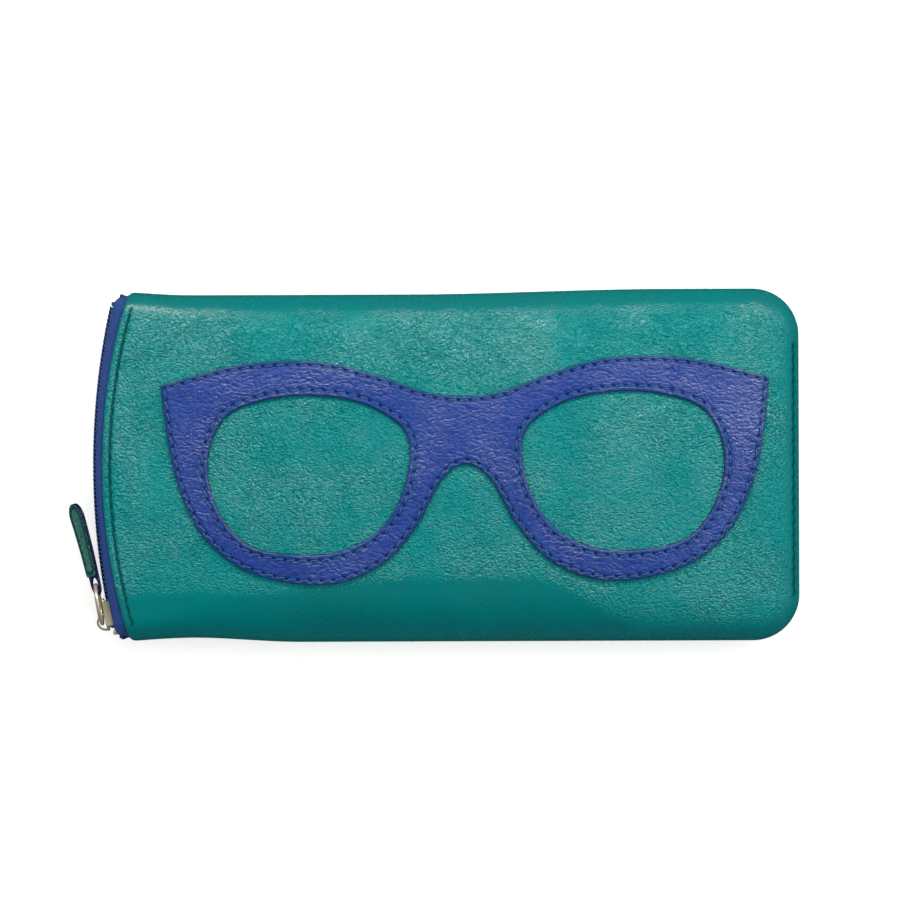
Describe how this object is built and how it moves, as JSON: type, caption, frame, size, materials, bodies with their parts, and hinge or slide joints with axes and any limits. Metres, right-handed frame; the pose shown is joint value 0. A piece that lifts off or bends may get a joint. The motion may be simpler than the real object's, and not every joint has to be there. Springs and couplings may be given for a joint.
{
  "type": "zipped glasses case",
  "caption": "Soft padded leather glasses case with a curved zip mouth, a glasses-shaped applique, inner pockets and a leather zip pull.",
  "frame": {"origin": "centre of the flat patch on the back panel that the case rests on", "axes": "+X along the case from the zip mouth to the closed end, +Y across the case, +Z out of the front panel"},
  "size_m": [0.1884, 0.09, 0.024],
  "materials": {
    "teal_leather": "pebbled, semi-matte, sewn and turned",
    "blue_leather": "fine pebbled, semi-matte, cut edge",
    "foam": "thin padding foam",
    "lining": "plain woven lining",
    "zip_tape": "knitted zip tape",
    "zip_coil": "moulded coil",
    "pale_gold": "polished pale gold plating",
    "tab_back": "smooth, painted edge",
    "thread": "twisted sewing thread"
  },
  "bodies": {
    "case": {"front_panel": "teal_leather", "back_panel": "teal_leather", "glasses_applique": "blue_leather", "front_foam": "foam", "back_foam": "foam", "front_lining": "lining", "back_lining": "lining", "divider": "lining", "zip_tape_front": "zip_tape", "zip_tape_back": "zip_tape", "zip_coil_front": "zip_coil", "zip_coil_back": "zip_coil", "zip_top_stop_front": "pale_gold", "zip_top_stop_back": "pale_gold", "zip_bottom_stop": "zip_coil", "applique_outline_stitching": "thread", "applique_left_lens_stitching": "thread", "applique_right_lens_stitching": "thread", "front_mouth_stitching": "thread", "back_mouth_stitching": "thread", "closed_end_stitching": "thread"},
    "slider": {"slider_body": "pale_gold"},
    "ring": {"pull_ring": "pale_gold"},
    "tab": {"pull_tab_front": "teal_leather", "pull_tab_back": "tab_back", "pull_tab_stitching": "thread"}
  },
  "joints": [
    {"name": "slider_travel", "type": "hinge", "parent": "case", "child": "slider", "pos_m": [0.0987, 0, 0.0095], "axis": [0, 0, -1], "range_deg": [0, 22.4]},
    {"name": "ring_swing", "type": "hinge", "parent": "slider", "child": "ring", "pos_m": [-0.08904, -0.04004, 0.0095], "axis": [0, 0, 1], "range_deg": [0, 150]},
    {"name": "tab_swing", "type": "hinge", "parent": "ring", "child": "tab", "pos_m": [-0.09067, -0.03018, 0.0095], "axis": [0, 0, 1], "range_deg": [-3, 12]}
  ]
}
